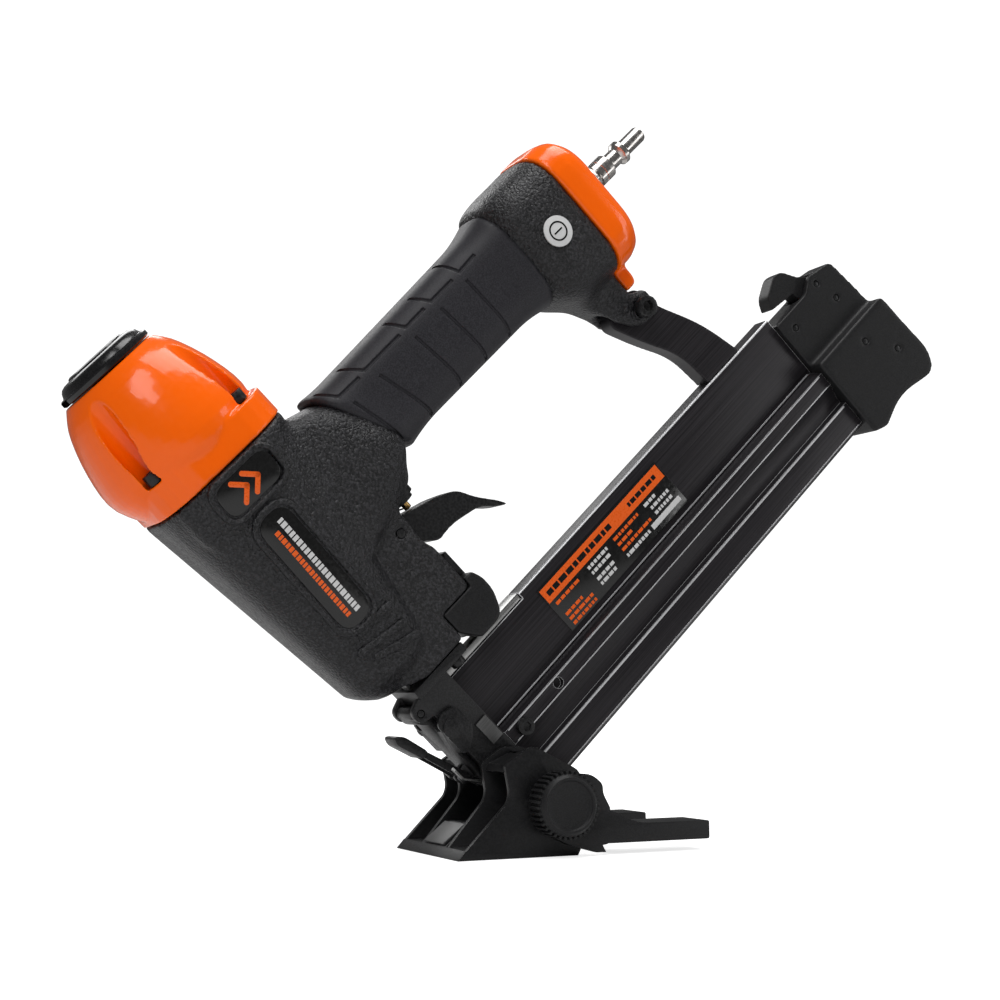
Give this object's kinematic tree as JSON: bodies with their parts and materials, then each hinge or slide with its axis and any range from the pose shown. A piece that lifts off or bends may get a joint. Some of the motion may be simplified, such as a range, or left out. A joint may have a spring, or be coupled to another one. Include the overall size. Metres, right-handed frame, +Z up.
{
  "type": "flooring nailer",
  "caption": "Air-powered flooring nailer with an orange-capped barrel, ribbed rubber grip, slanted magazine, and a wide shoe with an adjustable foot.",
  "frame": {"origin": "middle of the shoe's sole, on the floor", "axes": "+X runs back along the sole under the handle and the magazine, +Z up, -Y is the tool's left side"},
  "size_m": [0.4288, 0.1076, 0.3393],
  "materials": {
    "wrinkle_black": "matte",
    "orange_gloss": "gloss",
    "grip_rubber": "matte",
    "black_anodised": "satin",
    "steel": "satin",
    "nickel": "polished",
    "black_oxide": "satin",
    "black_plastic": "matte",
    "label_gloss": "gloss",
    "cover_gloss": "gloss",
    "brass": "satin",
    "bare_aluminium": "satin",
    "urethane": "matte",
    "foil": "satin"
  },
  "bodies": {
    "frame": {"main_housing": "wrinkle_black", "side_label": "label_gloss", "name_plate": "label_gloss", "grip_sleeve": "grip_rubber", "cylinder_cap": "orange_gloss", "exhaust_hub": "cover_gloss", "cylinder_sleeve": "bare_aluminium", "bumper": "urethane", "head_valve_spring": "steel", "end_cap": "orange_gloss", "end_cap_screw_1": "black_oxide", "end_cap_screw_2": "black_oxide", "air_plug": "nickel", "round_badge": "foil", "trigger_pin": "steel", "trigger_valve": "black_plastic", "yoke_spring": "steel", "yoke_cover": "black_plastic", "nosepiece": "black_oxide", "nose_screw_1": "black_oxide", "nose_screw_2": "black_oxide", "shoe_pin": "steel", "door_pin": "steel", "nose_side_plate": "steel", "magazine_channel": "black_anodised", "feed_rail": "steel", "magazine_label": "label_gloss", "arm_bracket": "black_anodised", "arm_screw": "black_oxide", "trigger_spring": "steel", "shoe": "black_plastic", "wear_strip": "steel", "cap_screw_1": "black_oxide", "cap_screw_2": "black_oxide", "cap_screw_3": "black_oxide", "cap_screw_4": "black_oxide"},
    "cover": {"exhaust_cover": "cover_gloss"},
    "driver": {"piston": "bare_aluminium", "driver_blade": "steel"},
    "head_valve_body": {"head_valve": "black_plastic"},
    "trigger_body": {"trigger": "black_anodised"},
    "stem": {"valve_stem": "brass"},
    "yoke": {"contact_yoke": "black_oxide"},
    "door": {"nose_door": "black_oxide"},
    "lever": {"latch_lever": "black_oxide"},
    "bail": {"latch_bail": "steel"},
    "magazine": {"magazine_slide": "black_anodised", "end_block": "black_plastic", "block_pin_1": "black_oxide", "block_pin_2": "black_oxide", "block_pin_3": "black_oxide", "block_pin_4": "black_oxide", "latch_pin": "steel", "rail_screw": "black_oxide"},
    "latch": {"release_latch": "black_plastic"},
    "pusher_body": {"pusher": "steel"},
    "foot": {"adjustable_foot": "black_plastic"},
    "left_knob": {"knob_left": "black_plastic"},
    "right_knob": {"knob_right": "black_plastic"}
  },
  "joints": [
    {"name": "exhaust_turn", "type": "hinge", "parent": "frame", "child": "cover", "pos_m": [-0.17048, 0, 0.20648], "axis": [-0.7071, 0, 0.7071], "continuous": true},
    {"name": "driver_stroke", "type": "slide", "parent": "frame", "child": "driver", "axis": [0.7071, 0, -0.7071], "range_m": [0, 0.0798]},
    {"name": "head_valve_lift", "type": "slide", "parent": "frame", "child": "head_valve_body", "axis": [-0.7071, 0, 0.7071], "range_m": [0, 0.005], "stiffness_N_per_m": 400, "springref_m": -0.002, "deforming": ["head_valve_spring"]},
    {"name": "trigger_pull", "type": "hinge", "parent": "frame", "child": "trigger_body", "pos_m": [-0.04461, 0, 0.1393], "axis": [0, -1, 0], "range_deg": [0, 9], "stiffness_Nm_per_rad": 0.3, "springref_deg": -5.73, "deforming": ["trigger_spring"]},
    {"name": "stem_push", "type": "slide", "parent": "frame", "child": "stem", "axis": [-0.7071, 0, 0.7071], "range_m": [0, 0.003]},
    {"name": "yoke_press", "type": "slide", "parent": "frame", "child": "yoke", "axis": [-0.7071, 0, 0.7071], "range_m": [0, 0.005], "stiffness_N_per_m": 150, "springref_m": -0.002, "deforming": ["yoke_spring"]},
    {"name": "door_hinge", "type": "hinge", "parent": "frame", "child": "door", "pos_m": [-0.03492, 0, 0.06131], "axis": [0, 1, 0], "range_deg": [0, 50]},
    {"name": "lever_hinge", "type": "hinge", "parent": "door", "child": "lever", "pos_m": [-0.0106, 0, 0.0333], "axis": [0, -1, 0], "range_deg": [0, 50]},
    {"name": "bail_hinge", "type": "hinge", "parent": "lever", "child": "bail", "pos_m": [-0.01801, 0, 0.03721], "axis": [0, 1, 0], "range_deg": [0, 56]},
    {"name": "magazine_slide_out", "type": "slide", "parent": "frame", "child": "magazine", "axis": [0.7071, 0, 0.7071], "range_m": [0, 0.19]},
    {"name": "release_latch_press", "type": "hinge", "parent": "magazine", "child": "latch", "pos_m": [0.177, 0, 0.26884], "axis": [0, 1, 0], "range_deg": [0, 12], "stiffness_Nm_per_rad": 0.2, "springref_deg": -8.59},
    {"name": "pusher_feed", "type": "slide", "parent": "magazine", "child": "pusher_body", "axis": [0.7071, 0, 0.7071], "range_m": [0, 0.17]},
    {"name": "foot_height", "type": "slide", "parent": "frame", "child": "foot", "axis": [0, 0, 1], "range_m": [0, 0.009]},
    {"name": "left_knob_turn", "type": "hinge", "parent": "frame", "child": "left_knob", "pos_m": [0.017, -0.045, 0.0224], "axis": [0, 1, 0], "continuous": true},
    {"name": "right_knob_turn", "type": "hinge", "parent": "frame", "child": "right_knob", "pos_m": [0.017, 0.045, 0.0224], "axis": [0, 1, 0], "continuous": true}
  ],
  "couplings": [
    {"joint": "stem_push", "follows": "trigger_pull", "m_per_rad": 0.0155},
    {"joint": "bail_hinge", "follows": "lever_hinge", "ratio": 1.1}
  ]
}
